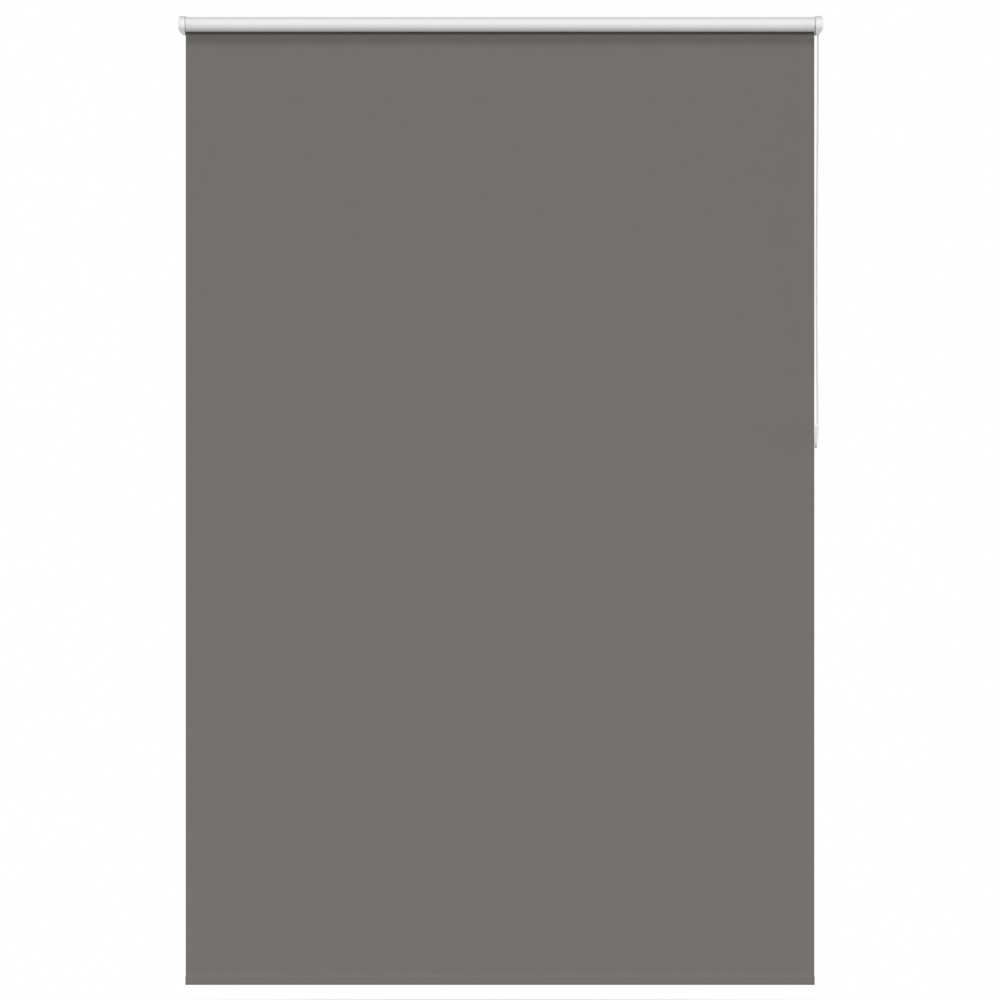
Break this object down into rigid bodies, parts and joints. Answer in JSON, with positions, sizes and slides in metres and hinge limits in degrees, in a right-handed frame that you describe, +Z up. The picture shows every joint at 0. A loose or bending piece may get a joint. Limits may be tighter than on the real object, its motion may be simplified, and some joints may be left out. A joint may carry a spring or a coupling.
{
  "type": "roller blind",
  "caption": "Chain-operated roller blind, lowered: fabric off the back of a bare tube between two covered brackets, a hem bar at the foot and a bead chain loop with a weight at the right.",
  "frame": {"origin": "on the wall plane, half way between the outer faces of the two bracket covers, at the height of the roller's axis, which is the centre of the four wall-screw holes", "axes": "+X along the roller towards the chain, +Y out of the back towards the wall, +Z up"},
  "size_m": [1.5, 0.0625, 2.2569],
  "materials": {
    "bracket_plastic": "satin white moulded plastic",
    "clutch_plastic": "plain acetal",
    "chain_plastic": "smooth white beads",
    "weight_plastic": "smooth white moulded plastic",
    "tube_lacquer": "white lacquer on an aluminium extrusion",
    "blackout_fabric": "matt warm grey plain weave with a coated back",
    "end_cap_plastic": "moulded plastic close to the fabric's grey",
    "hem_aluminium": "mill-finish extrusion",
    "spring_steel": "oiled spring wire",
    "zinc_steel": "bright zinc plating",
    "slug_iron": "rough cast slug"
  },
  "bodies": {
    "brackets": {"idle_bracket": "bracket_plastic", "idle_bracket_cover": "bracket_plastic", "control_bracket": "bracket_plastic", "control_bracket_cover": "bracket_plastic", "clutch_hub": "clutch_plastic", "chain_guide": "bracket_plastic", "clutch_springs": "spring_steel", "clutch_washer": "zinc_steel", "clutch_screw": "zinc_steel", "fabric_panel": "blackout_fabric"},
    "roller": {"roller_tube": "tube_lacquer", "drive_plug": "bracket_plastic", "sprocket": "clutch_plastic", "chain_beads_on_sprocket": "chain_plastic", "idle_plug": "bracket_plastic", "fabric_spline": "clutch_plastic", "fabric_wrap": "blackout_fabric"},
    "hem": {"hem_bar": "hem_aluminium", "hem_sleeve": "blackout_fabric", "hem_end_cap_left": "end_cap_plastic", "hem_end_cap_right": "end_cap_plastic"},
    "idle_pin": {"idle_pin": "clutch_plastic", "pin_spring": "spring_steel"},
    "chain_loop": {"bead_chain": "chain_plastic", "weight_shell_inner": "weight_plastic", "weight_shell_outer": "weight_plastic", "weight_pin": "zinc_steel", "weight_slug": "slug_iron", "weight_screw": "zinc_steel"},
    "weight_pulley": {"guide_pulley": "clutch_plastic"}
  },
  "joints": [
    {"name": "roller_spin", "type": "hinge", "parent": "brackets", "child": "roller", "pos_m": [0, -0.033, 0], "axis": [1, 0, 0], "range_deg": [0, 6120], "deforming": ["bead_chain"]},
    {"name": "hem_lift", "type": "slide", "parent": "brackets", "child": "hem", "axis": [0, 0, 1], "range_m": [0, 2.15337], "deforming": ["fabric_panel"]},
    {"name": "idle_pin_push", "type": "slide", "parent": "brackets", "child": "idle_pin", "axis": [1, 0, 0], "range_m": [0, 0.006], "stiffness_N_per_m": 600, "springref_m": -0.01, "deforming": ["pin_spring"]},
    {"name": "chain_swing", "type": "hinge", "parent": "brackets", "child": "chain_loop", "pos_m": [0, -0.033, 0], "axis": [1, 0, 0], "range_deg": [-6, 1]},
    {"name": "pulley_spin", "type": "hinge", "parent": "chain_loop", "child": "weight_pulley", "pos_m": [0.73613, -0.033, -0.94995], "axis": [0.9972, 0, -0.075], "range_deg": [0, 9118.8]}
  ],
  "couplings": [
    {"joint": "hem_lift", "follows": "roller_spin", "m_per_rad": 0.02016},
    {"joint": "pulley_spin", "follows": "roller_spin", "ratio": 1.49}
  ]
}
